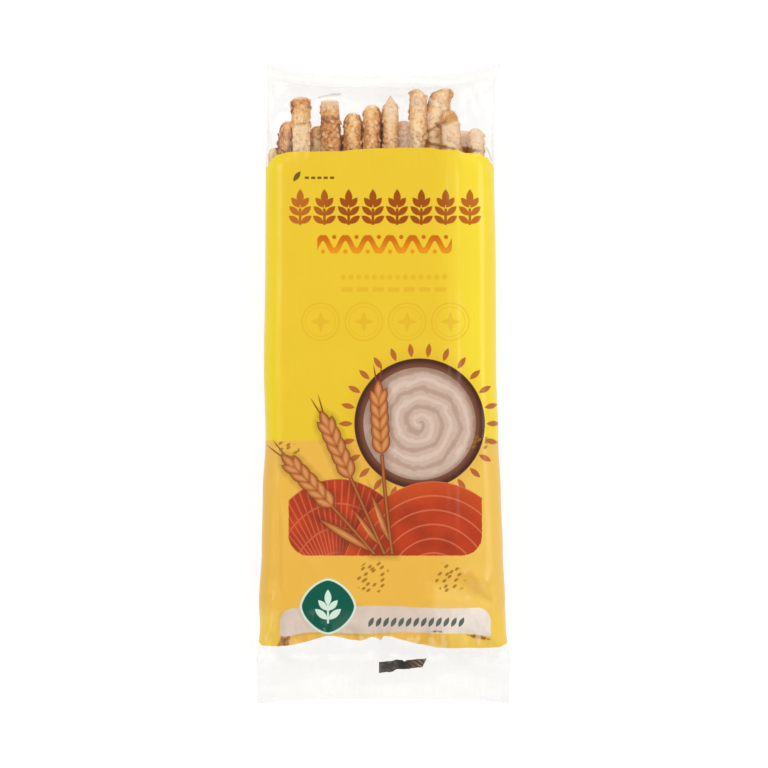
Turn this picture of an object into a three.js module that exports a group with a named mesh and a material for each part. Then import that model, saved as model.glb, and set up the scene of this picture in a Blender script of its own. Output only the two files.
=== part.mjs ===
// A sealed flat film pack of thin breadsticks, lying on its back with its printed face up.
// Millimetres. +X is the pack's right side, +Y its upper end and +Z up. The origin lies under the middle
// of the pack, on the surface that it rests on.
// The pack is one closed solid: a flat heat seal at each end, a full body over two layers of sticks, and
// shoulders between them. The upper shoulder follows the uneven row of stick tips.

import * as THREE from "three";

// Driving dimensions.
const PACK_LENGTH = 257.2; // over the corners of the two seals
const THICKNESS = 17; // two nested layers of sticks and the film
const SEAL_THICKNESS = 0.8; // both films pressed together, with the height of the crimp
const SIDE_HEIGHT = 7; // the height of the pack's widest line and of the seals where they leave the body

// The side edges, from the lower seal to the upper one, at each height y where the width changes.
const OUTLINE = [
  { y: -128.6, left: -50.4, right: 50.2 },
  { y: -112, left: -50.7, right: 50.7 },
  { y: -97, left: -49.4, right: 49.1 },
  { y: -88, left: -49.8, right: 48.8 },
  { y: -66, left: -48.7, right: 47.9 },
  { y: -44, left: -48.3, right: 47.1 },
  { y: -22, left: -47.2, right: 46.1 },
  { y: 8, left: -47.9, right: 45.2 },
  { y: 45, left: -47.3, right: 45.1 },
  { y: 87, left: -47.1, right: 44.4 },
  { y: 97, left: -46.4, right: 44.3 },
  { y: 120, left: -46.2, right: 44.6 },
  { y: 128.6, left: -46.6, right: 46.8 },
];

// The seals. Their outer edges are drawn in along the middle, where the film has to climb over the sticks.
const UPPER_SEAL = { depth: 4.8, drawnIn: 5, drop: 1.6, cornerDrop: 1.8 };
const LOWER_SEAL = { depth: 14, drawnIn: 2, drop: 2.4, cornerDrop: 1.4 };

// The shoulders.
const LOWER_FULL_Y = -86; // where the body is at its full thickness
const TIP_SPACING = 7; // across the pack, from one stick tip to the next
const FIRST_TIP_X = -39.3;
const TIP_REACH = [105, 114.6, 103, 115.8, 108, 111.4, 115, 105.4, 117.9, 118.3, 109.5, 102.2];
const TIP_BLEND = 3.2; // how far the film smooths over the steps between the tips
const TIP_ROUND = 6; // the film starts to fall this far before a tip
const SHOULDER_POWER = { lower: 0.95, upper: 0.75 }; // 0.5 is an ellipse, and more is a softer slope

// The section across the body.
const FACE_ROUND = 10; // the width of the round side, on the face
const BACK_ROUND = 8; // and on the back
const RIDGE_SPACING = 7.8; // from one stick of the upper layer to the next
const RIDGE_DEPTH = 0.35;

// The grid that the surface is made on.
const MIDDLE_STEPS = 36; // across the pack between the round sides
const SIDE_STEPS = 4; // on each round side
const SEAL_STEPS = 2; // along the pack
const SHOULDER_STEPS = 8;
const BODY_STEPS = 12;

const halfLength = PACK_LENGTH / 2;
const halfSeal = SEAL_THICKNESS / 2;
const mix = (a, b, t) => a + (b - a) * t;
const smooth = (t) => t * t * (3 - 2 * t);

// The side edge named "left" or "right" at height y, on a smooth line through the outline's stations.
function edgeAt(side, y) {
  const upper = Math.max(1, OUTLINE.findIndex((station) => station.y >= Math.min(y, halfLength)));
  const [low, high] = [OUTLINE[upper - 1], OUTLINE[upper]];
  return mix(low[side], high[side], smooth((y - low.y) / (high.y - low.y)));
}

// How far up the sticks reach at a place across the pack: a weighted mean of the nearest tips.
function tipReachAt(x) {
  let sum = 0;
  let weights = 0;
  TIP_REACH.forEach((reach, i) => {
    const away = (x - FIRST_TIP_X - i * TIP_SPACING) / TIP_BLEND;
    const weight = Math.exp(-0.5 * away * away) + Number.EPSILON;
    sum += weight * reach;
    weights += weight;
  });
  return sum / weights;
}

// The places across the pack, from -1 at the left edge to 1 at the right: close together on the round sides.
function placesAcross() {
  const width = edgeAt("right", 0) - edgeAt("left", 0);
  const flatShare = 1 - (2 * FACE_ROUND) / width;
  const places = [];
  for (let i = SIDE_STEPS; i > 0; i--) {
    places.push(-mix(flatShare, 1, Math.sin((i / SIDE_STEPS) * (Math.PI / 2))));
  }
  for (let i = 0; i <= MIDDLE_STEPS; i++) {
    places.push(mix(-flatShare, flatShare, i / MIDDLE_STEPS));
  }
  for (let i = 1; i <= SIDE_STEPS; i++) {
    places.push(mix(flatShare, 1, Math.sin((i / SIDE_STEPS) * (Math.PI / 2))));
  }
  return places;
}

// One place along the pack: y, the share of the full height (0 on a seal, 1 on the body), and the drop
// of a seal's middle line below the side height.
function stationsAlong(u) {
  const drawn = 1 - u ** 4;
  const lowerEnd = -halfLength + LOWER_SEAL.drawnIn * drawn;
  const upperEnd = halfLength - UPPER_SEAL.drawnIn * drawn;
  const lowerInner = lowerEnd + LOWER_SEAL.depth;
  const upperInner = upperEnd - UPPER_SEAL.depth;
  const upperFull = tipReachAt(u * edgeAt("right", upperInner)) - TIP_ROUND;
  const dropOf = (seal, outward) => outward ** 2 * (seal.drop + seal.cornerDrop * u * u);
  const shoulder = (end, t) => (1 - t * t) ** SHOULDER_POWER[end];
  const stations = [];
  for (let i = 0; i < SEAL_STEPS; i++) {
    const t = i / SEAL_STEPS;
    stations.push({ y: mix(lowerEnd, lowerInner, t), share: 0, drop: dropOf(LOWER_SEAL, 1 - t) });
  }
  for (let i = 0; i < SHOULDER_STEPS; i++) {
    const t = Math.cos((i / SHOULDER_STEPS) * (Math.PI / 2));
    stations.push({ y: mix(LOWER_FULL_Y, lowerInner, t), share: shoulder("lower", t), drop: 0 });
  }
  for (let i = 0; i < BODY_STEPS; i++) {
    stations.push({ y: mix(LOWER_FULL_Y, upperFull, i / BODY_STEPS), share: 1, drop: 0 });
  }
  for (let i = 0; i < SHOULDER_STEPS; i++) {
    const t = Math.sin((i / SHOULDER_STEPS) * (Math.PI / 2));
    stations.push({ y: mix(upperFull, upperInner, t), share: shoulder("upper", t), drop: 0 });
  }
  for (let i = 0; i <= SEAL_STEPS; i++) {
    const t = i / SEAL_STEPS;
    stations.push({ y: mix(upperInner, upperEnd, t), share: 0, drop: dropOf(UPPER_SEAL, t) });
  }
  return stations;
}

// How far the surface has risen at a distance in from the side edge: a quarter circle, then flat.
function sideRise(inward, round) {
  return inward >= round ? 1 : Math.sqrt(1 - (1 - inward / round) ** 2);
}

// The face and back points of the film at one place across and one station along the pack.
function filmPoints(u, { y, share, drop }) {
  const left = edgeAt("left", y);
  const right = edgeAt("right", y);
  const x = mix(left, right, (u + 1) / 2);
  const inward = Math.max(0, Math.min(x - left, right - x));
  const middle = SIDE_HEIGHT - drop;
  const faceRise = share * sideRise(inward, FACE_ROUND);
  const backRise = share * sideRise(inward, BACK_ROUND);
  const ridge = (RIDGE_DEPTH / 2) * (1 - Math.cos((2 * Math.PI * x) / RIDGE_SPACING));
  return {
    face: [x, y, middle + halfSeal + (THICKNESS - SIDE_HEIGHT - halfSeal) * faceRise - ridge * faceRise],
    back: [x, y, (middle - halfSeal) * (1 - backRise)],
  };
}

// The closed surface: a grid of face points, a grid of back points, and a strip round the four edges.
function packGeometry() {
  const columns = placesAcross().map((u) => stationsAlong(u).map((station) => filmPoints(u, station)));
  const rows = columns[0].length;
  const lastColumn = columns.length - 1;
  const lastRow = rows - 1;
  const positions = columns.flatMap((column) => column.flatMap(({ face, back }) => [...face, ...back]));
  const indices = [];
  const face = (i, j) => 2 * (i * rows + j);
  const back = (i, j) => face(i, j) + 1;
  const quad = (a, b, c, d) => indices.push(a, b, c, a, c, d);
  for (let i = 0; i < lastColumn; i++) {
    for (let j = 0; j < lastRow; j++) {
      quad(face(i, j), face(i + 1, j), face(i + 1, j + 1), face(i, j + 1));
      quad(back(i, j), back(i, j + 1), back(i + 1, j + 1), back(i + 1, j));
    }
    quad(back(i, 0), back(i + 1, 0), face(i + 1, 0), face(i, 0));
    quad(face(i, lastRow), face(i + 1, lastRow), back(i + 1, lastRow), back(i, lastRow));
  }
  for (let j = 0; j < lastRow; j++) {
    quad(face(0, j), face(0, j + 1), back(0, j + 1), back(0, j));
    quad(back(lastColumn, j), back(lastColumn, j + 1), face(lastColumn, j + 1), face(lastColumn, j));
  }
  const geometry = new THREE.BufferGeometry();
  geometry.setAttribute("position", new THREE.Float32BufferAttribute(positions, 3));
  geometry.setIndex(indices);
  geometry.computeVertexNormals();
  return geometry;
}

const printedFilm = new THREE.MeshStandardMaterial({ color: 0xedcc3a, roughness: 0.35, metalness: 0 });

const sealedPack = new THREE.Mesh(packGeometry(), printedFilm);
sealedPack.name = "sealed_pack";

const pack = new THREE.Group();
pack.add(sealedPack);

export default pack;
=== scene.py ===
"""A sealed flat pack of sesame grissini, lying on its back with the printed face up.

The pack is a film tube with a heat seal at each end: printed along the middle and clear at both ends. Through
the clear upper end show the tips of two rows of breadsticks, rolled in sesame.
"""

import math

import bpy
import numpy as np
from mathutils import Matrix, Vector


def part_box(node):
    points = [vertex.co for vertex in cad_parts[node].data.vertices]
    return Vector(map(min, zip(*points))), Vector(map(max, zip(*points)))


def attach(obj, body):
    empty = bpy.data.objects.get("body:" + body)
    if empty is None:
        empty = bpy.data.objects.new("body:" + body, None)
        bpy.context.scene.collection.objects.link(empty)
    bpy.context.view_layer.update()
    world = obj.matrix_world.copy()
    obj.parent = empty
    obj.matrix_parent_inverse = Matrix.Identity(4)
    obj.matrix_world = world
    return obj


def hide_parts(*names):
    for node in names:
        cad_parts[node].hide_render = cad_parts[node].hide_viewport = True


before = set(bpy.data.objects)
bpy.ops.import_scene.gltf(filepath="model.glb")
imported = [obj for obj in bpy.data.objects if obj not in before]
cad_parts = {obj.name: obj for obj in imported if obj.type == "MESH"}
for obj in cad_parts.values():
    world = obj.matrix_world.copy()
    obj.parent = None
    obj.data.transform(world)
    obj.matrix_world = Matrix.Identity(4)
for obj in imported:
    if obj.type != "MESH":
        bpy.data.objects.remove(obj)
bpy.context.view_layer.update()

# ----------------------------------------
# Sizes, in millimetres. +X is the pack's right, +Y its upper end, +Z up from the surface it lies on.

MM = 0.001
PACK = "sealed_pack"
pack_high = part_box(PACK)[1]
HALF_LENGTH = pack_high.y / MM
THICKNESS = pack_high.z / MM
SIDE_HEIGHT = 7  # the height of the widest line, and of the seals where they leave the body

# The side edges, from the lower seal to the upper one.
OUTLINE_Y = (-128.6, -112, -97, -88, -66, -44, -22, 8, 45, 87, 97, 120, 128.6)
OUTLINE_LEFT = (-50.4, -50.7, -49.4, -49.8, -48.7, -48.3, -47.2, -47.9, -47.3, -47.1, -46.4, -46.2, -46.6)
OUTLINE_RIGHT = (50.2, 50.7, 49.1, 48.8, 47.9, 47.1, 46.1, 45.2, 45.1, 44.4, 44.3, 44.6, 46.8)

# The seals: how deep, how far drawn in along the middle, how far they hang at the outer edge and its corners.
UPPER_SEAL = {"depth": 4.8, "drawn_in": 5, "drop": 1.6, "corner_drop": 1.8}
LOWER_SEAL = {"depth": 14, "drawn_in": 2, "drop": 2.4, "corner_drop": 1.4}
FILM_GAP = 0.12  # between the two films of a seal
RIB_PITCH = 2.1  # of the crimp
RIB_HEIGHT = 0.11
TOOTH = 0.4  # of the zigzag cut
RIB_SPAN = 48  # the ribs and teeth are spaced as on a seal that reaches this far on either side

# The body.
LOWER_FULL_Y = -86  # where the body is at its full thickness
TIP_BLEND = 3.2  # across, where the upper shoulder passes from one tip to the next
TIP_ROUND = 6  # down from the tips to where the body is at its full thickness
SHOULDER_POWER = 0.75  # the lower, the fuller the shoulder
LOWER_SHOULDER_POWER = 0.95
FACE_ROUND = 8  # in from the side edges to where the face is flat
BACK_ROUND = 8
BACK_LIFT = 0.45  # of the back film over the folded seam below it
FACE_HEIGHT = THICKNESS - 0.65
RIDGE_DEPTH = 0.1  # of the shallow ridges that the front sticks press into the face
RIDGE_PITCH = 7.8
PLEAT_SIZE = 5.2  # across a pleat of the shoulders; the finer pleats are half as wide
CORNER_PLACE, CORNER_SPREAD = 0.86, 0.008  # across, of the dimples that the seals pull in near the corners
CORNER_DEPTH = 1.6
CLEARANCE = 0.45  # of the face film over a stick, for its seeds
BACK_CLEARANCE = 0.4  # of the back film under a stick
LOWEST_FILM = 0.05
HIGHEST_FILM = THICKNESS + 0.35
CLING_FULL, CLING_GONE = 0.72, 1.92  # gaps over a stick: the film clings fully up to one, not past the other

# The printed film's upper edge, which sags between the sticks and at its corners.
PRINT_TOP_X = (-46.6, -44.9, -42.5, -37, -24, -17, -11, -2, 6, 18, 24, 29, 33, 38, 41.5, 43.4, 44.5)
PRINT_TOP_Y = (
    86.5, 89.0, 91.3, 92.3, 92.4, 92.5, 93.2, 93.6, 93.9, 93.8, 93.0, 92.9, 91.8, 91.5, 90.2, 87.8, 85.2,
)
# Its lower edge, which the crumpled seal makes uneven, with a fold at the middle.
PRINT_FOOT_X = (
    -50.6, -49.4, -48.3, -41.7, -36.2, -31.3, -26.1, -23.1, -19.9, -16.6, -13.3, -8.8, -7.1, -4.7, -2.9, -0.8,
    0.1, 3.5, 7.1, 10.0, 13.4, 16.6, 21.5, 26.4, 33.0, 39.4, 46.0, 48.8, 50.6,
)
PRINT_FOOT_Y = (
    -102.6, -103.6, -104.7, -105.0, -104.4, -103.2, -101.6, -100.7, -100.6, -101.3, -102.2, -102.6, -102.0,
    -101.0, -101.4, -102.3, -100.5, -101.0, -102.1, -102.9, -103.8, -104.4, -105.5, -105.7, -105.5, -105.7,
    -105.3, -104.2, -103.2,
)


def mix(a, b, t):
    return a + (b - a) * t


def smooth(t):
    t = np.clip(t, 0, 1)
    return t * t * (3 - 2 * t)


def between(table, i, j, s, t):
    """The smooth table's value at the share s past row i and the share t past column j."""
    return mix(mix(table[i, j], table[i + 1, j], s), mix(table[i, j + 1], table[i + 1, j + 1], s), t)


def smooth_highest(a, b, blend):
    """The higher of two surfaces, rounded where they cross."""
    return (a + b + np.sqrt((a - b) ** 2 + blend**2)) / 2


# ----------------------------------------
# Random surfaces, the same at each run.


def ripple(x, y, size, seed):
    """Smooth random heights from -1 to 1, in patches about size wide."""
    table = np.random.default_rng(seed).uniform(-1, 1, (64, 64))
    across, along = np.asarray(x) / size, np.asarray(y) / size
    i, j = np.floor(across).astype(int), np.floor(along).astype(int)
    table = np.pad(table, (0, 1), mode="wrap")
    return between(table, i % 64, j % 64, smooth(across - i), smooth(along - j))


def crumple(x, y, size, seed):
    """Sharp-edged folds from -1 to 1, as in creased film."""
    return 1 - np.abs(ripple(x, y, size, seed)) * 2


# ----------------------------------------
# The sticks.

FRONT = 11.9  # the height of the middle line of the sticks in the front row
REAR = 4.5
STICKS = [
    # name, tip x, tip y, lean at the tip and the length over which it fades, radius, height at the tip and
    # along the body, end, brown at the tip and then every BROWN_STEP down from it
    ("a", -37.7, 105.0, (0.24, 10), 3.1, 8.0, 8.8, "blunt", (0.6, 0.92, 0.9, 0.9, 0.98)),
    (
        *("b", -32.4, 114.6, (0.01, 20), 3.8, 10.6, FRONT, "blunt"),
        (0.05, 0.78, 0.62, 0.46, 0.28, 0.22, 0.2, 0.12),
    ),
    ("d", -21.2, 113.4, (-0.05, 20), 3.7, 10.2, FRONT, "cut", (0.1, 0.18, 0.25, 0.34, 0.66, 0.54, 0.46)),
    ("e", -12.3, 108.2, (-0.01, 20), 3.55, 11.4, FRONT, "round", (0.3, 0.65, 0.55, 0.53)),
    ("f", -4.8, 111.4, (0.01, 20), 3.7, 11.0, FRONT, "round", (0.1, 0.3, 0.38, 0.38, 0.46, 0.56)),
    (
        *("g", 2.7, 115.2, (0.015, 20), 3.3, 10.6, FRONT, "point"),
        (0.35, 0.1, 0.05, 0.08, 0.14, 0.16, 0.28, 0.38),
    ),
    (
        *("i", 14.1, 117.8, (0.02, 20), 3.55, 9.6, FRONT, "slant"),
        (0.55, 0.45, 0.4, 0.38, 0.38, 0.36, 0.3, 0.2, 0.15),
    ),
    ("k", 26.3, 109.6, (-0.09, 20), 4.4, 11.6, FRONT, "broken", (0.5, 0.45, 0.4, 0.32, 0.28, 0.28)),
    ("m", 37.0, 102.0, (-0.05, 20), 3.45, 11.0, 11.8, "round", (0.25, 0.12, 0.08, 0.1, 0.2)),
    ("j", 25.3, 118.2, (0.92, 4.5), 4.6, 6.6, 5.2, "round", (0.6, 0.55, 0.58, 0.52, 0.4, 0.25)),
    ("left", -43.8, 94.6, (0.00, 20), 2.4, 5.0, 4.4, "round", (0.05,)),
    ("rear_1", -33.2, 103.0, (0.00, 20), 3.1, 4, 4, "round", (0.7,)),
    ("c", -26.4, 103.2, (0.01, 20), 3.6, 6.4, REAR, "round", (0.3, 0.55, 0.4, 0.15)),
    ("rear_2", -17.6, 99.8, (0.01, 20), 3.6, REAR, REAR, "cut", (0.7,)),
    ("rear_3", -8.8, 105.4, (0.00, 20), 3.6, REAR, REAR, "round", (0.7,)),
    ("rear_4", -0.9, 109.0, (-0.01, 20), 3.6, REAR, REAR, "round", (0.7,)),
    ("h", 8.3, 105.2, (0.01, 20), 3.6, 6.3, REAR, "blunt", (0.5, 0.5, 0.45)),
    ("l", 31.6, 101.4, (0.00, 20), 3.6, 5.9, REAR, "blunt", (0.0, 0.0, 0.0, 0.15, 0.6)),
    ("right", 39.4, 88.4, (0.00, 20), 3.4, 5.0, 4.8, "round", (0.3,)),
]
BROWN_STEP = 2
STICK_LENGTH = 202
LENGTH_SPREAD = 1.5  # how far their lengths differ from it
SINK_Y = 62  # above here a stick's height changes from the body's to the tip's
FRONT_BODY = 8  # sticks with their middle line above this height are in the front row
LOWEST_FOOT = {"front": -95.5, "rear": -99.5}  # where the lower shoulder stops each row's longest sticks
FOOT_ROUNDING, FOOT_POWER = 2.2, 0.45  # over what length the lower ends narrow, and how full they are
OUTER_SHARE, CRUST_SHARE = 1.02, 0.97  # of a stick's width: out to its highest bumps, and to its crust
FAR = 100  # in place of a height where there is no stick
WINDOW_Y = 84  # above here the sticks show, so their surface is finer
SHOWN_STEP = 0.36  # between a stick's rings where it shows
HIDDEN_STEP = 2.4
STICK_SIDES = 44
# How each kind of end narrows: over what length, how full it is, and how far its right side is cut back.
STICK_ENDS = {
    "round": (3.6, 0.5, 0),
    "blunt": (2.6, 0.44, 0),
    "cut": (1.1, 0.36, 0),
    "slant": (1.6, 0.42, 0.6),
    "broken": (10, 0.5, 0),
    "point": (7.6, 1.3, 0),
}


def rounded_end(distance, reach, power):
    """How wide a stick is at a distance from one of its ends, from 0 to 1."""
    near = np.minimum(np.maximum(distance, 0) / reach, 1)
    return np.clip(1 - (1 - near) ** 2, 0, 1) ** power


class Stick:
    """The shape of one breadstick."""

    def __init__(self, number, name, tip_x, tip_y, lean, radius, tip_height, body_height, end, browns):
        self.number, self.name, self.browns = number, name, browns
        self.rounding, self.power, self.cut_back = STICK_ENDS[end]
        self.tip_x, self.tip_y = tip_x, tip_y
        self.lean, self.lean_reach = lean
        self.radius, self.tip_height, self.body_height = radius, tip_height, body_height
        self.row = "front" if body_height > FRONT_BODY else "rear"
        foot_y = tip_y - STICK_LENGTH + LENGTH_SPREAD * math.sin(number * 2.4)
        self.foot_y = max(foot_y, LOWEST_FOOT[self.row])

    def middle(self, y):
        """The x and z of the middle line."""
        from_tip = np.maximum(self.tip_y - y, 0)
        x = self.tip_x - self.lean * self.lean_reach * (1 - np.exp(-from_tip / self.lean_reach))
        x = x + 0.3 * np.sin(y / 31 + self.number)
        z = mix(self.body_height, self.tip_height, smooth((y - SINK_Y) / (self.tip_y - SINK_Y)))
        return x, z

    def width(self, y):
        """The radius along the stick, with the shape of its ends."""
        tip = rounded_end(self.tip_y - y, self.rounding, self.power)
        foot = rounded_end(y - self.foot_y, FOOT_ROUNDING, FOOT_POWER)
        swell = 1 + 0.035 * np.sin(y / 9.7 + self.number * 1.7) + 0.02 * np.sin(y / 4.1 + self.number)
        return self.radius * tip * foot * swell

    def half_depth(self, x, y):
        """How far the stick rises above its middle line at each place, or a negative number beside it."""
        reach = (self.width(y) * OUTER_SHARE) ** 2 - (x - self.middle(y)[0]) ** 2
        inside = (reach > 0) & (y < self.tip_y) & (y > self.foot_y)
        return np.where(inside, np.sqrt(np.maximum(reach, 0)), -FAR)

    def roof(self, x, y):
        return self.middle(y)[1] + self.half_depth(x, y)

    def underside(self, x, y):
        depth = self.half_depth(x, y)
        return np.where(depth > 0, self.middle(y)[1] - depth, FAR)

    def brown_at(self, y):
        """How far the crust is browned, from 0 to 1."""
        return np.interp(self.tip_y - y, BROWN_STEP * np.arange(len(self.browns)), self.browns)


sticks = [Stick(number, *row) for number, row in enumerate(STICKS)]
front_sticks = [stick for stick in sticks if stick.row == "front" or stick.name == "j"]


def roof_at(x, y):
    """The upper side of the sticks."""
    return np.max([stick.roof(x, y) for stick in sticks], axis=0)


# ----------------------------------------
# The film's shape.


def smooth_line(x, stations, values):
    """A smooth line through the values at the stations."""
    stations, values = np.array(stations), np.array(values)
    x = np.clip(x, stations[0], stations[-1])
    after = np.clip(np.searchsorted(stations, x), 1, len(stations) - 1)
    step = (x - stations[after - 1]) / (stations[after] - stations[after - 1])
    return mix(values[after - 1], values[after], smooth(step))


def edge_at(places, y):
    """The left or right side edge at each height y."""
    return smooth_line(y, OUTLINE_Y, places)


def across_at(u, y):
    """The x of each place across the pack, from -1 at its left edge to 1 at its right, at each height y."""
    return mix(edge_at(OUTLINE_LEFT, y), edge_at(OUTLINE_RIGHT, y), (u + 1) / 2)


def tip_reach(x):
    """How far up the front sticks reach at each place across the pack."""
    weights, total = 1e-12, 0
    for stick in front_sticks:
        weight = np.exp(-0.5 * ((x - stick.tip_x) / TIP_BLEND) ** 2) + 1e-9
        weights, total = weights + weight, total + weight * stick.tip_y
    return total / weights


def zigzag(x):
    """A saw-tooth from -1 to 1 with the ribs' pitch."""
    return 4 * np.abs((x / RIB_PITCH) % 1 - 0.5) - 1


def seal_lines(u):
    """The outer and inner lines of both seals, lowest first, at each place across, from -1 to 1."""
    drawn = 1 - u**4
    teeth = TOOTH * (zigzag(u * RIB_SPAN) - 1) / 2
    lower_end = -HALF_LENGTH + LOWER_SEAL["drawn_in"] * drawn
    upper_end = HALF_LENGTH - UPPER_SEAL["drawn_in"] * drawn
    lower_inner = lower_end + LOWER_SEAL["depth"]
    upper_inner = upper_end - UPPER_SEAL["depth"]
    return lower_end - teeth, lower_inner, upper_inner, upper_end + teeth


def print_top(u):
    return smooth_line(across_at(u, PRINT_TOP_Y[0]), PRINT_TOP_X, PRINT_TOP_Y)


def print_foot(u):
    return np.interp(across_at(u, PRINT_FOOT_Y[0]), PRINT_FOOT_X, PRINT_FOOT_Y)


def crease(x, y, start, end, width, height):
    """A soft ridge along a line from start to end, or a groove if height is below 0."""
    along = np.subtract(end, start)
    length = math.hypot(*along)
    t = ((x - start[0]) * along[0] + (y - start[1]) * along[1]) / length**2
    aside = ((x - start[0]) * along[1] - (y - start[1]) * along[0]) / length
    fade = smooth(t * 4) * smooth((1 - t) * 4)
    return height * fade * np.exp(-np.abs(aside / width) ** 1.5)


# Creases in the face: start, end, width and height.
FACE_CREASES = [
    # the long crease beside the left edge, and the wrinkles of the lower left corner
    ((-42.0, -40), (-41.4, -90), 1.6, -0.7),
    ((-39.8, -44), (-39.8, -88), 1.3, 0.6),
    ((-48.6, -104), (-43.4, -82), 1.4, 1.1),
    ((-47, -106), (-40, -90), 1.6, -1.0),
    ((-48, -98), (-43, -72), 2.2, -0.7),
    ((-33.4, -86), (-32, -95), 1.8, -0.7),
    ((-30, -101), (-27, -90), 1.6, -0.7),
    ((-36, -60), (-16, -92), 2.4, 0.35),
    ((-22, -60), (-34, -86), 2.2, -0.3),
    # the dents of the lower right corner
    ((31, -74.5), (44, -80), 2.8, 1.0),
    ((32, -83), (45, -87.5), 2.8, -1.0),
    ((16, -79), (31, -80), 2.8, -0.6),
    ((14, -87), (32, -86), 2.8, 0.8),
    ((48, -106), (34, -90), 2.2, 0.9),
    ((30, -96.5), (38, -99), 1.4, 0.7),
    # the crumpled strip at the lower seal
    ((-31, -108), (-23, -97), 2.0, 0.9),
    ((-24, -106), (-22, -97), 2.4, 0.8),
    ((-10, -105), (-14, -96), 1.8, -0.9),
    ((0.1, -108), (0.6, -96), 1.0, 1.0),
    ((6, -108), (5, -99), 1.6, 0.7),
    ((16, -108), (18, -98), 1.8, -0.8),
    ((28, -108), (26, -99), 2.0, 0.8),
    # near the upper edge
    ((-34, 60), (-37, 88), 3.0, 0.25),
    ((38, 50), (40, 86), 3.0, -0.25),
]
# Creases in the clear film over the tips.
WINDOW_CREASES = [
    ((-28, 112.5), (-14, 114.5), 0.8, 0.8),
    ((-27, 110.5), (-14, 112.2), 0.9, -0.5),
    ((18, 115.5), (27, 109.5), 0.7, 0.8),
    ((15, 98.5), (24, 104.8), 0.8, 0.8),
    ((24, 104.8), (34, 106.8), 0.9, 0.6),
    ((16, 96.2), (40, 93.4), 0.8, 0.5),
    ((-38, 104.4), (-27, 103.6), 0.8, 0.5),
    ((-45, 118), (-38, 108), 1.1, 0.8),
    ((43, 119), (36, 107), 1.1, 0.8),
    ((-2, 119), (-1, 108), 1.0, 0.6),
]


def way(y, start, end):
    """How far y is on the way from start to end, from 0 to 1."""
    return np.clip((y - start) / (end - start), 0, 1)


def plain_film(u, y, side):
    """The film as if it held no sticks: x and z at each place across (u, -1 to 1) and along (y), on the side
    "face" or "back"."""
    x = across_at(u, y)
    inward = np.clip(np.minimum(x - edge_at(OUTLINE_LEFT, y), edge_at(OUTLINE_RIGHT, y) - x), 0, None)
    lower_end, lower_inner, upper_inner, upper_end = seal_lines(u)
    upper_full = tip_reach(x) - TIP_ROUND

    below = way(y, LOWER_FULL_Y, lower_inner)
    above = way(y, upper_full, upper_inner)
    share = (1 - below**2) ** LOWER_SHOULDER_POWER * (1 - above**2) ** SHOULDER_POWER

    lower_out = way(y, lower_inner, lower_end)
    upper_out = way(y, upper_inner, upper_end)
    drop = lower_out**2 * (LOWER_SEAL["drop"] + LOWER_SEAL["corner_drop"] * u * u)
    drop = drop + upper_out**2 * (UPPER_SEAL["drop"] + UPPER_SEAL["corner_drop"] * u * u)
    sealed = smooth(lower_out * 8) + smooth(upper_out * 6)
    waver = 0.9 * np.sin(x / 8.3 + 1) * np.clip(lower_out * 2, 0, 1) + 0.5 * np.sin(x / 6.1) * upper_out
    middle = SIDE_HEIGHT - drop + waver * (1 - u * u * 0.4)

    round_side = FACE_ROUND if side == "face" else BACK_ROUND
    rise = np.sqrt(np.clip(1 - np.clip(1 - inward / round_side, 0, 1) ** 2, 0, 1)) * share
    ribs = RIB_HEIGHT * zigzag(u * RIB_SPAN) * sealed

    # Pleats on the shoulders, which fan out from the seals, and the corners that they pull in.
    shoulder = 4 * share * (1 - share)
    fan = u * 50 * (1 + 0.12 * below)
    pleats = crumple(fan, y * 0.22, PLEAT_SIZE, 11) * 0.75 + crumple(fan, y * 0.3, PLEAT_SIZE / 2, 12) * 0.3
    dimple = np.exp(-((np.abs(u) - CORNER_PLACE) ** 2) / CORNER_SPREAD) * np.clip(shoulder, 0, 1)
    soft = ripple(x, y, 26, 5) * 0.3 + ripple(x, y, 11, 6) * 0.1
    edge_fade = smooth(inward / 6)

    if side == "back":
        z = (middle - FILM_GAP / 2 - BACK_LIFT) * (1 - rise) + BACK_LIFT + ribs
        z = z + pleats * 0.5 * shoulder * edge_fade
        return x, z
    z = middle + FILM_GAP / 2 + (FACE_HEIGHT - SIDE_HEIGHT) * rise + ribs
    z = z - pleats * shoulder * edge_fade * 0.9 - dimple * CORNER_DEPTH
    z = z + soft * share * edge_fade
    z = z - RIDGE_DEPTH * 0.5 * (1 - np.cos(2 * np.pi * x / RIDGE_PITCH)) * rise
    for start, end, width, height in FACE_CREASES:
        z = z + crease(x, y, start, end, width, height) * edge_fade
    return x, z


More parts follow.
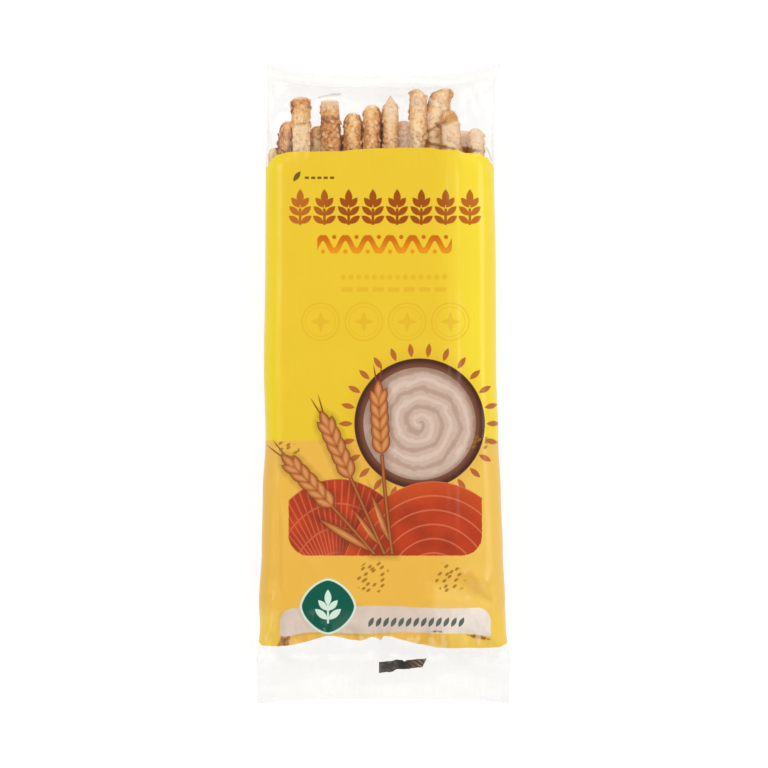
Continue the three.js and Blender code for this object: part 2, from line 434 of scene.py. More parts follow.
class Drape:
    """How far the sticks push the face film away from its plain shape, on a grid. Over the tips the film
    hangs like a stretched cloth between the sticks, the side edges and the seal."""

    COLUMNS = 241
    LOW, HIGH, STEP = -131.0, 131.0, 0.4
    ROUNDS = 900
    # The film hangs loose from a little below the print's upper edge, up to the seal and out to the sides.
    UNDER_PRINT, PRINT_FADE = 10, 8
    SEAL_FADE = 1.2
    SIDE_FADE = 0.02  # as a part of half the width

    def __init__(self):
        u = np.linspace(-1, 1, self.COLUMNS)
        y = np.arange(self.LOW, self.HIGH, self.STEP)
        u, y = np.meshgrid(u, y)
        x, plain = plain_film(u, y, "face")
        roof = roof_at(x, y) + CLEARANCE
        rest = np.minimum(smooth_highest(plain, roof, 0.5), HIGHEST_FILM)
        upper_inner = seal_lines(u)[2]
        loose = smooth((y - print_top(u) + self.UNDER_PRINT) / self.PRINT_FADE)
        loose = loose * smooth((upper_inner - y) / self.SEAL_FADE) * smooth((1 - np.abs(u)) / self.SIDE_FADE)
        roof = np.minimum(roof, HIGHEST_FILM)
        hung = rest.copy()
        for _ in range(self.ROUNDS):
            across = np.roll(hung, 1, axis=1) + np.roll(hung, -1, axis=1)
            along = np.roll(hung, 1, axis=0) + np.roll(hung, -1, axis=0)
            hung = mix(rest, np.maximum((across + along) / 4, roof), loose)
        pleats = crumple(x + x * (y - 110) * 0.01, y * 0.2, 4.5, 21) * 0.35
        pleats = pleats + ripple(x, y * 0.5, 3.0, 22) * 0.12
        beside = smooth((hung - roof) / 2.0) * loose
        hung = hung + pleats * beside
        for start, end, width, height in WINDOW_CREASES:
            hung = hung + crease(x, y, start, end, width, height) * loose
        self.push = hung - plain

    def __call__(self, u, y):
        column = np.clip((u + 1) / 2 * (self.COLUMNS - 1), 0, self.COLUMNS - 1.001)
        row = np.clip((y - self.LOW) / self.STEP, 0, self.push.shape[0] - 1.001)
        i, j = column.astype(int), row.astype(int)
        return between(self.push.T, i, j, column - i, row - j)


drape = Drape()


def film_at(u, y, side):
    """The x and z of the film over the sticks."""
    x, z = plain_film(u, y, side)
    if side == "face":
        return x, z + drape(u, y)
    for stick in sticks:
        z = np.minimum(z, stick.underside(x, y) - BACK_CLEARANCE)
    return x, np.maximum(z, LOWEST_FILM)


def place_across(x, y):
    """The place across the pack, from -1 to 1, of each x."""
    left, right = edge_at(OUTLINE_LEFT, y), edge_at(OUTLINE_RIGHT, y)
    return (x - left) / (right - left) * 2 - 1


# ----------------------------------------
# Meshes.


def add_object(name, data, place=(0, 0, 0)):
    """An object in the scene, placed in metres."""
    made = bpy.data.objects.new(name, data)
    made.location = place
    bpy.context.scene.collection.objects.link(made)
    return made


def smooth_mesh(name, points, faces, material):
    """A smooth mesh, from points in millimetres."""
    mesh = bpy.data.meshes.new(name)
    mesh.from_pydata((np.asarray(points) * MM).tolist(), [], [tuple(map(int, face)) for face in faces])
    mesh.polygons.foreach_set("use_smooth", [True] * len(mesh.polygons))
    mesh.materials.append(material)
    return mesh


def grid_faces(rows, columns, closed=False, flipped=False):
    """The faces of a grid of points, given row after row. Closed rows join up at their ends, and a flipped
    grid faces the other way."""
    number = np.arange(rows * columns).reshape(rows, columns)
    after = np.roll(number, -1, axis=1)
    corners = [number[:-1], after[:-1], after[1:], number[1:]]
    if flipped:
        corners[1], corners[3] = corners[3], corners[1]
    faces = np.stack(corners, axis=-1)
    return (faces if closed else faces[:, :-1]).reshape(-1, 4)


def closed_faces(rows, columns):
    """The faces of a closed form, of rings of points from one end to the other."""
    first = np.arange(columns)
    ends = [first, first[::-1] + (rows - 1) * columns]
    return [*grid_faces(rows, columns, closed=True, flipped=True), *ends]


def add_piece(name, points, faces, material, uv=None, values=None):
    """A smooth mesh piece of the pack, with its flat map and the numbers that its material reads."""
    mesh = smooth_mesh(name, points, faces, material)
    if uv is not None:
        layer = mesh.uv_layers.new(name="flat")
        layer.data.foreach_set("uv", np.asarray(uv, float).ravel())
    for key, numbers in (values or {}).items():
        attribute = mesh.attributes.new(key, "FLOAT", "POINT")
        attribute.data.foreach_set("value", np.asarray(numbers, np.float32))
    mesh.validate()
    piece = add_object(name, mesh)
    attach(piece, "root")
    return piece


FACE_COLUMNS = 200
BACK_COLUMNS = 70
# On the film's flat map: a line just past the face, where the print of the back begins, a line past the back,
# and where the folded seam is, past the tube's whole girth.
FACE_END = 56
BACK_START = 60
BACK_END = 160
SEAM_PLACE = 170


def ring_places():
    """Places across for one loop of the tube: the face from left to right, then the back from right to left.
    They are closer together near the side edges."""

    def spread(count):
        even = np.linspace(-1, 1, count + 1)
        return mix(even, np.sin(even * np.pi / 2), 0.75)

    face, back = spread(FACE_COLUMNS), spread(BACK_COLUMNS)[::-1]
    return np.concatenate([face, back]), np.array(["face"] * len(face) + ["back"] * len(back))


def film_tube(name, low, high, rows, material):
    """A stretch of the film tube between the lines low(u) and high(u). Its flat map holds, in millimetres,
    the place round the girth, from the left edge over the face to the back, and the place along the pack."""
    u, side = ring_places()
    t = np.linspace(0, 1, rows + 1)[:, None]
    y = mix(low(u)[None, :], high(u)[None, :], t)
    across = np.broadcast_to(u, y.shape)
    x, z = np.empty(y.shape), np.empty(y.shape)
    for face_or_back in ("face", "back"):
        here = side == face_or_back
        x[:, here], z[:, here] = film_at(across[:, here], y[:, here], face_or_back)
    girth = np.where(side == "face", x, 2 * edge_at(OUTLINE_RIGHT, y) - x)
    count = len(u)
    quads = grid_faces(rows + 1, count, closed=True)
    flat = np.stack([girth, y], axis=-1).reshape(-1, 2)
    corners = flat[quads]
    last = np.flatnonzero(np.tile(np.arange(count) == count - 1, rows))
    turn_y = corners[last][:, 1:3, 1]
    turn_x = 2 * edge_at(OUTLINE_RIGHT, turn_y) - edge_at(OUTLINE_LEFT, turn_y)
    corners[last[:, None], [1, 2], 0] = turn_x
    points = np.stack([x, y, z], axis=-1).reshape(-1, 3)
    gap = z - roof_at(x, y) - CLEARANCE
    cling = np.clip((CLING_GONE - gap) / (CLING_GONE - CLING_FULL), 0, 1) * (side == "face")
    values = {"cling": cling.ravel()}
    return add_piece(name, points, quads, material, corners.reshape(-1, 2), values)


# ----------------------------------------
# Materials.


class Value:
    """A shader socket. Sums and products on it add Math nodes."""

    def __init__(self, finish, socket):
        self.finish, self.socket = finish, socket

    def maths(self, operation, *values, clamp=False):
        sockets = dict(enumerate(values))
        return self.finish.node("Math", {"operation": operation, "use_clamp": clamp}, sockets)

    def __add__(self, other):
        return self.maths("ADD", self, other)

    def __sub__(self, other):
        return self.maths("SUBTRACT", self, other)

    def __rsub__(self, other):
        return self.maths("SUBTRACT", other, self)

    def __mul__(self, other):
        return self.maths("MULTIPLY", self, other)

    def __truediv__(self, other):
        return self.maths("DIVIDE", self, other)

    def __pow__(self, other):
        return self.maths("POWER", self, other)

    def __abs__(self):
        return self.maths("ABSOLUTE", self)

    __radd__ = __add__
    __rmul__ = __mul__

    def least(self, other):
        return self.maths("MINIMUM", self, other)

    def most(self, other):
        return self.maths("MAXIMUM", self, other)

    def sine(self):
        return self.maths("SINE", self)

    def cosine(self):
        return self.maths("COSINE", self)

    def angle_from(self, other):
        """The angle of the direction (other, self)."""
        return self.maths("ARCTAN2", self, other)

    def nearest(self):
        return self.maths("ROUND", self)

    def clamped(self):
        return self.maths("ADD", self, 0, clamp=True)

    def step(self, start, end):
        """0 before start and 1 after end, smooth between them."""
        return self.finish.node(
            "MapRange", {"interpolation_type": "SMOOTHSTEP"}, {0: self, 1: start, 2: end}
        )


class Finish:
    """A material made of nodes, which all come from its node method."""

    def __init__(self, name):
        self.material = bpy.data.materials.new(name)
        self.material.use_nodes = True
        self.tree = self.material.node_tree
        self.tree.nodes.clear()

    def node(self, kind, settings=None, sockets=None, output=0):
        """Adds a node, sets its settings and then its sockets, and gives one of its outputs."""
        made = self.tree.nodes.new("ShaderNode" + kind)
        for name, setting in (settings or {}).items():
            if name == "stops":
                ramp = made.color_ramp
                while len(ramp.elements) < len(setting):
                    ramp.elements.new(1)
                for stop, (place, colour) in zip(ramp.elements, setting):
                    stop.position, stop.color = place, colour
            else:
                setattr(made, name, setting)
        for name, value in (sockets or {}).items():
            if isinstance(value, Value):
                self.tree.links.new(value.socket, made.inputs[name])
            else:
                made.inputs[name].default_value = value
        return Value(self, made.outputs[output]) if made.outputs else None

    def blend(self, below, above, share):
        """One colour over another."""
        return self.node("Mix", {"data_type": "RGBA"}, {0: share, 6: below, 7: above}, output=2)

    def layers(self, below, *layers):
        """Colours laid over one another, each with its share."""
        for colour, share in layers:
            below = self.blend(below, colour, share)
        return below

    def shade(self, colour, share):
        """A colour made darker or lighter by a share."""
        grey = self.node("CombineColor", {}, {0: share, 1: share, 2: share})
        multiply = {"data_type": "RGBA", "blend_type": "MULTIPLY"}
        return self.node("Mix", multiply, {0: 1.0, 6: colour, 7: grey}, output=2)

    def noise(self, size, vector, detail=2.0, rough=0.5, warp=0.0):
        """Cloudy noise from 0 to 1, in patches about size wide, in the units of the vector."""
        return self.node(
            "TexNoise",
            {},
            {"Vector": vector, "Scale": 1 / size, "Detail": detail, "Roughness": rough, "Distortion": warp},
        )

    def number_on(self, name):
        """A number that the mesh keeps at its points."""
        return self.node("Attribute", {"attribute_name": name}, {}, output=2)

    def place_in_piece(self):
        """Where a point is in its piece, in metres."""
        return self.node("TexCoord", {}, {}, output=3)

    def scaled(self, vector, across, along):
        """A place on the flat film with both its parts scaled."""
        return self.node("VectorMath", {"operation": "MULTIPLY"}, {0: vector, 1: (across, along, 1.0)})

    def bump(self, height, distance, strength=1.0):
        return self.node("Bump", {}, {"Height": height, "Distance": distance, "Strength": strength})

    def surface(self, sockets):
        """Ends the material in one Principled shader."""
        shader = self.node("BsdfPrincipled", {}, sockets)
        self.node("OutputMaterial", {}, {"Surface": shader})
        return self.material

    def flat_place(self):
        """Where a point is on the flat film: round the girth and along the pack, in millimetres."""
        vector = self.node("UVMap", {"uv_map": "flat"})
        x = self.node("SeparateXYZ", {}, {0: vector}, output=0)
        y = self.node("SeparateXYZ", {}, {0: vector}, output=1)
        return vector, x, y


def rgb(red, green, blue):
    """A colour given as on a screen, from 0 to 255, as the linear numbers that shaders take."""

    def linear(value):
        value /= 255
        return value / 12.92 if value <= 0.04045 else ((value + 0.055) / 1.055) ** 2.4

    return linear(red), linear(green), linear(blue), 1.0


# Printed shapes are distances in millimetres: below 0 inside the shape.

EDGE = 0.12  # half the soft edge of a printed shape


def inside(distance, soft=EDGE):
    """1 where a distance is below 0 and 0 above it."""
    return (0.5 - distance / (2 * soft)).clamped()


def direction(degrees):
    return math.cos(math.radians(degrees)), math.sin(math.radians(degrees))


def turned(x, y, centre, degrees):
    """Coordinates measured from a centre, along and across a direction."""
    cos, sin = direction(degrees)
    x, y = x - centre[0], y - centre[1]
    return x * cos + y * sin, y * cos - x * sin


def disc(x, y, centre, radius):
    return ((x - centre[0]) ** 2 + (y - centre[1]) ** 2) ** 0.5 - radius


def oval(x, y, centre, half_width, half_height):
    reach = ((x - centre[0]) / half_width) ** 2 + ((y - centre[1]) / half_height) ** 2
    return (reach**0.5 - 1) * min(half_width, half_height)


def box(x, y, centre, half_width, half_height, corner=0.0):
    """A rectangle with round corners."""
    aside = (abs(x - centre[0]) - (half_width - corner)).most(0)
    above = (abs(y - centre[1]) - (half_height - corner)).most(0)
    return (aside**2 + above**2) ** 0.5 - max(corner, 1e-3)


def streak(x, y, start, end, half_width):
    """A line with round ends."""
    half = math.hypot(end[0] - start[0], end[1] - start[1]) / 2
    degrees = math.degrees(math.atan2(end[1] - start[1], end[0] - start[0]))
    return box(*turned(x, y, start, degrees), (half, 0), half + half_width, half_width, half_width)


def cornered(x, y, *corners):
    """A shape with straight sides and no notch, from its corners in clockwise order."""
    shape = None
    for start, end in zip(corners, corners[1:] + corners[:1]):
        across, along = end[0] - start[0], end[1] - start[1]
        outside = ((y - start[1]) * across - (x - start[0]) * along) / math.hypot(across, along)
        shape = outside if shape is None else shape.most(outside)
    return shape


def leaf(along, across, length, width):
    """A pointed leaf round the origin."""
    return abs(across) - width / 2 + (along / (length / 2)) ** 2 * (width / 2)


def leaf_from(x, y, foot, degrees, length, width):
    """A pointed leaf that grows from its foot in a direction."""
    along, across = turned(x, y, foot, degrees)
    return leaf(along - length / 2, across, length, width)


def ear(along, across, grains, pitch, length, width, degrees):
    """An ear of corn along the first direction: pairs of grains and one at its end."""
    cos, sin = direction(degrees)
    out = abs(across) - sin * length * 0.45
    nearest = (along / pitch - 0.5 * length * cos / pitch).nearest()
    shape = leaf(along - grains * pitch - length * 0.3, across, length, width)
    for neighbour in (-1, 0, 1):
        grain = (nearest + neighbour).most(0).least(grains - 1)
        forward = along - grain * pitch - cos * length * 0.5
        shape = shape.least(leaf(forward * cos + out * sin, out * cos - forward * sin, length, width))
    return shape


def from_nearest(x, pitch):
    """x measured from the nearest of an endless row of places."""
    return x - (x / pitch).nearest() * pitch


def stripes(distance, pitch, half_width):
    """Lines at every pitch of a distance."""
    turns = distance / pitch
    return abs(turns - turns.nearest()) * pitch - half_width


def repeated(x, pitch, centre, count):
    """x measured from the nearest of a row of places round a centre."""
    half = (count - 1) / 2
    place = ((x - centre) / pitch + half).nearest().most(0).least(count - 1) - half
    return x - centre - place * pitch


def printed_film():
    """Yellow film with a generic farm design: a row of sprigs over a wave, a pale sun over red hills with
    ears of corn, and a pale band at the foot."""
    finish = Finish("printed_film")
    place, x, y = finish.flat_place()
    mottle = finish.noise(16, place, 2)
    grain = finish.noise(1.6, place, 3, 0.6)
    brush = finish.noise(7, place, 3, 0.55, 0.6)

    # The two fields of yellow, with painted light: a shade lighter and more lemon towards the side edges,
    # where the film turns away from the sticks.
    lower = inside(y + 22.6 + (x / 9).sine() * 0.15, 0.3)
    right_side = x.step(18, 38) * inside(x - FACE_END, 2)
    left_side = x.step(-38, -46).most(x.step(124, 134) * inside(x - BACK_END, 2))
    upper_paint = finish.layers(
        rgb(228, 191, 45), (rgb(239, 213, 54), right_side), (rgb(236, 208, 34), left_side)
    )
    # A dent near the lower right corner, painted with one side in shade and one in the light, and the painted
    # shade of a fold just over the pale band.
    shaded = cornered(x, y, (28.8, -76), (35, -74.2), (42.8, -86.4), (35.7, -82.9), (29.4, -78.6))
    lit = cornered(x, y, (20.5, -80.7), (29.5, -81), (35.6, -84.1), (43, -87.2), (43, -94), (20, -94))
    fold_shade_line = streak(x, y, (-26, -88.1), (-9, -88.3), 0.3)
    lower_paint = finish.layers(
        rgb(228, 177, 71),
        (rgb(231, 188, 84), right_side.most(left_side * 0.2)),
        (rgb(236, 197, 80), right_side.most(left_side) * y.step(-86, -95)),
        (rgb(223, 172, 71), inside(shaded, 1.0) * 0.9),
        (rgb(233, 191, 92), inside(lit, 1.4) * 0.9),
        (rgb(204, 160, 72), inside(fold_shade_line, 0.7) * 0.7),
    )
    paint = finish.blend(upper_paint, lower_paint, lower)
    paint = finish.shade(paint, mottle * 0.05 + 0.975)

    # The row of sprigs: seven grains on a stem, eight times.
    sprig_x = abs(repeated(x, 9.65, 0.7, 8))
    sprigs = box(sprig_x, y, (0, 66.4), 0.55, 3.3, 0.2)
    for foot_y, degrees, length in ((63.6, 36, 5.4), (66.8, 42, 5.6), (70.0, 50, 5.2)):
        sprigs = sprigs.least(leaf_from(sprig_x, y, (0.2, foot_y), degrees, length, 2.5))
    sprigs = sprigs.least(leaf_from(sprig_x, y, (0, 70.8), 90, 6.6, 2.9))
    ends = (abs(x - 0.7) - 14).step(0, 24)
    title = finish.blend(rgb(154, 74, 12), rgb(184, 104, 30), ends)
    paint = finish.blend(paint, title, inside(sprigs))

    # The wave below it, with dots in its bends.
    wave_length, wave_height = 8.9, 2.5
    per_mm = 2 * math.pi / wave_length
    turn = (x - 0.5) * per_mm
    slope = turn.cosine() * (wave_height * per_mm)
    wave = abs(y - 55.4 - turn.sine() * wave_height) / (slope**2 + 1) ** 0.5 - 1.15
    dot_x = repeated(x, wave_length / 2, 0.5, 12)
    bend = (turn - dot_x * per_mm).sine()
    dots = disc(dot_x, y - 55.4 + bend * 2.9, (0, 0), 0.85)
    ribbon = wave.least(dots).most(abs(x - 0.5) - 26.8)
    amber = finish.blend(rgb(226, 146, 20), rgb(198, 102, 10), y.step(51.5, 58.5))
    paint = finish.blend(paint, amber, inside(ribbon))

    # Small marks above the sprigs, and faint rows and rings below the wave.
    mark = leaf_from(x, y, (-35.8, 80.4), 55, 5.0, 2.0)
    dashes = box(repeated(x, 2.5, -25.4, 5), y, (0, 81.9), 0.85, 0.5, 0.3)
    paint = finish.blend(paint, rgb(84, 62, 22), inside(mark.least(dashes)) * 0.9)
    beads = disc(repeated(x, 3.1, 4.2, 14), y, (0, 42.4), 1.1)
    bars = box(repeated(x, 6.2, 4.2, 7), y, (0, 37.4), 2.3, 0.9, 0.5)
    ring_x = repeated(x, 17.2, 0.9, 4)
    ring = disc(ring_x, y, (0, 24.6), 0)
    rings = (abs(ring - 7.4) - 0.26).least(abs(ring - 5.9) - 0.14)
    petals = leaf(ring_x, y - 24.6, 8, 2.2).least(leaf(y - 24.6, ring_x, 8, 2.2))
    faint = beads.least(bars).least(rings).least(petals)
    paint = finish.blend(paint, rgb(214, 158, 28), inside(faint, 0.2) * 0.42)

    # The printed scene. First a pale sun with a brown rim and short rays.
    sun, rays, rim_radius = (14.5, -16), 26, 26
    reach = disc(x, y, sun, 0)
    ray = (y - sun[1]).angle_from(x - sun[0]) * (rays / (2 * math.pi))
    ray_across = (ray - ray.nearest()) * reach * (2 * math.pi / rays)
    glow = (30 - reach).step(-3, 9)
    paint = finish.blend(paint, rgb(196, 120, 40), glow * 0.28)
    paint = finish.blend(paint, rgb(178, 98, 44), inside(leaf(reach - 29.4, ray_across, 5.6, 2.2)))
    rim = finish.blend(rgb(72, 38, 26), rgb(126, 78, 58), (reach - 22).step(3.4, 0.6) * 0.8)
    paint = finish.blend(paint, rim, inside(reach - rim_radius))
    swirl = ((reach + (brush - 0.5) * 5) * 0.9 + ray * 0.24).sine()
    sun_face = reach - 22.4
    face = finish.layers(
        rgb(200, 172, 154),
        (rgb(164, 134, 114), swirl.step(0.3, 1.0) * 0.6),
        (rgb(222, 200, 184), (0 - swirl).step(0.5, 1.0) * 0.5),
        (rgb(120, 84, 62), sun_face.step(-3.2, 0) * 0.5),
    )
    paint = finish.blend(paint, face, inside(sun_face))

    # Then two red hills with pale furrows.
    hill_box = box(x, y, (0.8, -50), 38.5, 18.5, 8.0) + (grain - 0.5) * 0.7
    back_hill = oval(x, y, (-18, -84), 34, 46)
    front_hill = oval(x, y, (20, -86), 38, 47)
    sunk = finish.noise(12, place, 3).step(0.3, 0.75)
    red = finish.blend(rgb(186, 62, 28), rgb(142, 46, 26), sunk * 0.7)
    furrows = 15  # for each radian
    furrow = (y + 84).angle_from(x + 18) * furrows
    lines = abs(furrow - furrow.nearest()) * (back_hill + 34) * (1 / furrows) - 0.16
    lines = lines.least(stripes(back_hill, 7.2, 0.2))
    back_paint = finish.blend(red, rgb(222, 120, 84), inside(lines, 0.2) * 0.6)
    back_paint = finish.blend(back_paint, rgb(120, 40, 22), front_hill.step(7, 0) * 0.6)
    paint = finish.blend(paint, back_paint, inside(back_hill.most(hill_box)))
    lines = stripes(front_hill, 4.6, 0.2)
    red = finish.blend(red, rgb(206, 84, 36), (front_hill + 9).step(0, 9) * 0.6)
    front_paint = finish.blend(red, rgb(228, 130, 94), inside(lines, 0.2) * 0.6)
    paint = finish.blend(paint, front_paint, inside(front_hill.most(hill_box)))

    # Three ears of corn that fan out over them, cut off at the foot of the hills.
    foot_x, foot_y = x - 5, y + 78
    middle_lean, spread = math.radians(114), math.radians(15.5)
    which = ((foot_y.angle_from(foot_x) - middle_lean) / spread).nearest().most(-1).least(1)
    lean = which * spread + middle_lean
    along = foot_x * lean.cosine() + foot_y * lean.sine()
    across = foot_y * lean.cosine() - foot_x * lean.sine() + (along / 40) ** 2 * which * -1.2
    head = along - 44 + which * 6
    corn = ear(head, across, 5, 4.6, 8.4, 3.9, 24)
    awns = leaf(head - 31, abs(across) - (head - 24) * 0.14, 10, 0.6)
    stalk = (abs(across) - 0.75).most(abs(along - 25) - 25).most(head - 4)
    blade = leaf_from(along, across, (14, 0), 17, 26, 3.6)
    shape = corn.least(stalk).least(blade).most(-68.3 - y)
    shadow = inside(shape - 1.2, 1.6)
    shape = shape.least(awns)
    paint = finish.blend(paint, rgb(92, 36, 16), shadow * 0.4)
    straw = finish.blend(rgb(118, 56, 28), rgb(178, 104, 52), (0 - shape).step(0.05, 0.75))
    straw = finish.blend(straw, rgb(214, 148, 90), (0 - shape).step(0.7, 1.7) * 0.8)
    straw = finish.shade(straw, grain * 0.3 + 0.86)
    paint = finish.blend(paint, straw, inside(shape))

    # Loose grains round the hills and the sun.
    turned_place = finish.node("VectorRotate", {}, {"Vector": place, "Angle": 0.9})
    squeezed = finish.scaled(turned_place, 1.0, 0.55)
    near = finish.node("TexVoronoi", {"voronoi_dimensions": "2D"}, {"Vector": squeezed, "Scale": 0.5})
    heap = disc(x, y, (-4, -77), 6.5).least(disc(x, y, (27, -77.5), 6)).least(disc(x, y, (38, -24), 4))
    heap = heap.least(disc(x, y, (-38, -26), 4)) + (brush - 0.5) * 7
    seeds = inside(near - 0.27, 0.07) * inside(heap, 0.4)
    paint = finish.blend(paint, rgb(150, 100, 26), seeds * 0.85)

    # The pale band with a row of seeds, a painted shade at its upper left and a painted shade line under it,
    # the marks below it, and a green emblem with a sprig.
    band_top = y + 90.4 + ((x - 12) / 9).sine() * 0.5
    band = box(x, band_top, (0.8, -10), 42, 11.4, 6.0)
    band_foot = -99.4 - y - (abs(x) - 31).most(0) * 0.16 + (x / 5.2).sine() * 0.35
    band_paint = finish.blend(rgb(213, 193, 178), rgb(234, 222, 210), (x + brush * 26).step(24, 50))
    band_paint = finish.shade(band_paint, (finish.noise(8, place, 3) - 0.5) * 0.28 + 0.99)
    band_shade = cornered(x, y, (-34.4, -89.5), (-30, -89.5), (-31.2, -95.4))
    band_paint = finish.blend(band_paint, rgb(188, 166, 150), inside(band_shade, 0.9) * 0.5)
    paint = finish.blend(paint, band_paint, inside(band.most(band_foot)))
    shade_under_band = inside(abs(band_foot - 0.55) - 0.3, 0.4) * x.step(-38, -34) * inside(x + 7, 4)
    paint = finish.blend(paint, rgb(190, 153, 80), shade_under_band * 0.75)
    row = leaf_from(repeated(x, 3.0, 13, 13), y, (-0.9, -97.0), 62, 4.4, 1.8).most(abs(x - 13) - 20)
    paint = finish.blend(paint, rgb(34, 70, 58), inside(row) * 0.9)
    bits = box(x - (y + 102.8) * 0.3, y, (-39.4, -102.9), 2.1, 2.0, 0.6)
    bits = bits.least(leaf(*turned(x, y, (38, -101.2), -12), 9, 1.6)).least(leaf(x - 21.6, y + 98.9, 4, 0.7))
    bit_paint = finish.blend(rgb(136, 74, 36), rgb(172, 124, 80), grain.step(0.44, 0.6))
    paint = finish.blend(paint, bit_paint, inside(bits + (grain - 0.5) * 1.6, 0.3) * 0.9)
    emblem_x = abs(x + 22)
    half_emblem, bulge = 10.4, 1.6
    emblem = (emblem_x / half_emblem) ** bulge + (abs(y + 88.8) / half_emblem) ** bulge
    emblem = (emblem ** (1 / bulge) - 1) * 9.6
    sprig = leaf_from(emblem_x, y, (0.1, -94), 40, 6.6, 2.7)
    sprig = sprig.least(leaf_from(emblem_x, y, (0.1, -90.4), 48, 5.6, 2.4))
    sprig = sprig.least(leaf_from(emblem_x, y, (0, -88.6), 90, 6.6, 2.7))
    sprig = sprig.least(box(emblem_x, y, (0, -91.6), 0.4, 4, 0.2))
    paint = finish.layers(
        paint,
        (rgb(206, 224, 206), inside(emblem - 0.8)),
        (rgb(6, 86, 68), inside(emblem)),
        (rgb(208, 228, 212), inside(sprig)),
    )

    # Pale patches painted in the crumpled strip at the foot, where its crinkles catch the light.
    crinkle_light = finish.noise(5, finish.scaled(place, 1.0, 0.4), 2)
    crinkle_light = crinkle_light.step(0.52, 0.62) * inside(y + 100.5, 0.6) * inside(x - FACE_END, 2)
    paint = finish.blend(paint, rgb(244, 208, 140), crinkle_light * 0.55)

    # The back of the pack: a pale panel with rows of short bars.
    panel = box(x, y, (97, 30), 33, 46, 3)
    bars = box(from_nearest(x, 8), from_nearest(y, 5), (0, 0), 3.1, 0.6, 0.3).most(panel + 5)
    back = finish.layers(
        paint, (rgb(236, 224, 190), inside(panel) * 0.9), (rgb(150, 108, 52), inside(bars) * 0.8)
    )
    paint = finish.blend(paint, back, inside(BACK_START - x, 0.5))

    normal = finish.bump(brush, 0.2 * MM, 0.4)
    rough = finish.noise(20, place, 2) * 0.06 + 0.26
    return finish.surface(
        {"Base Color": paint, "Roughness": rough, "Specular IOR Level": 0.28, "Normal": normal}
    )


# Folds in the clear film: start, end and half their width. Some stand up and get a painted highlight, and
# some get a painted shadow.
PALE_FOLDS = [
    ((-25.4, 113.2), (-18.0, 113.6), 0.35),
    ((18.2, 113.4), (25.8, 109.0), 0.4),
    ((18.0, 107.4), (18.0, 103.8), 0.1),
]
GREY_FOLDS = [
    ((-25.6, 114.2), (-20.6, 115.3), 0.3),
    ((-20.6, 115.3), (-17.4, 115.6), 0.5),
]
# Painted brown shade along the folds over the right tips.
BROWN_FOLDS = [
    ((15.6, 98.2), (17.4, 100.0), 0.15),
    ((17.4, 100.0), (21.8, 102.8), 0.35),
    ((21.8, 102.8), (24.5, 104.3), 0.4),
    ((15.6, 98.2), (16.2, 96.8), 0.1),
    ((17.2, 96.6), (17.2, 94.4), 0.6),
    ((18.4, 95.4), (24.8, 94.2), 0.55),
    ((24.8, 94.2), (28.4, 93.3), 0.15),
    ((32.0, 93.2), (34.6, 93.0), 0.75),
]
# Fainter painted shade along folds, and the olive shadows of the film's edge.
FAINT_FOLDS = [
    ((-35.2, 103.2), (-29.0, 104.0), 0.1),
    ((22.8, 102.0), (23.2, 95.0), 0.35),
    ((34.6, 93.0), (38.6, 92.7), 0.3),
]
OLIVE_FOLDS = [
    ((25.7, 108.9), (26.7, 108.5), 0.3),
    ((28.0, 107.8), (29.1, 106.9), 0.35),
    ((41.1, 94.2), (42.3, 91.9), 0.15),
    ((42.3, 91.9), (43.2, 89.2), 0.1),
]


def folds(x, y, rows):
    """Streaks, one for each row."""
    shape = streak(x, y, *rows[0])
    for start, end, half_width in rows[1:]:
        shape = shape.least(streak(x, y, start, end, half_width))
    return shape


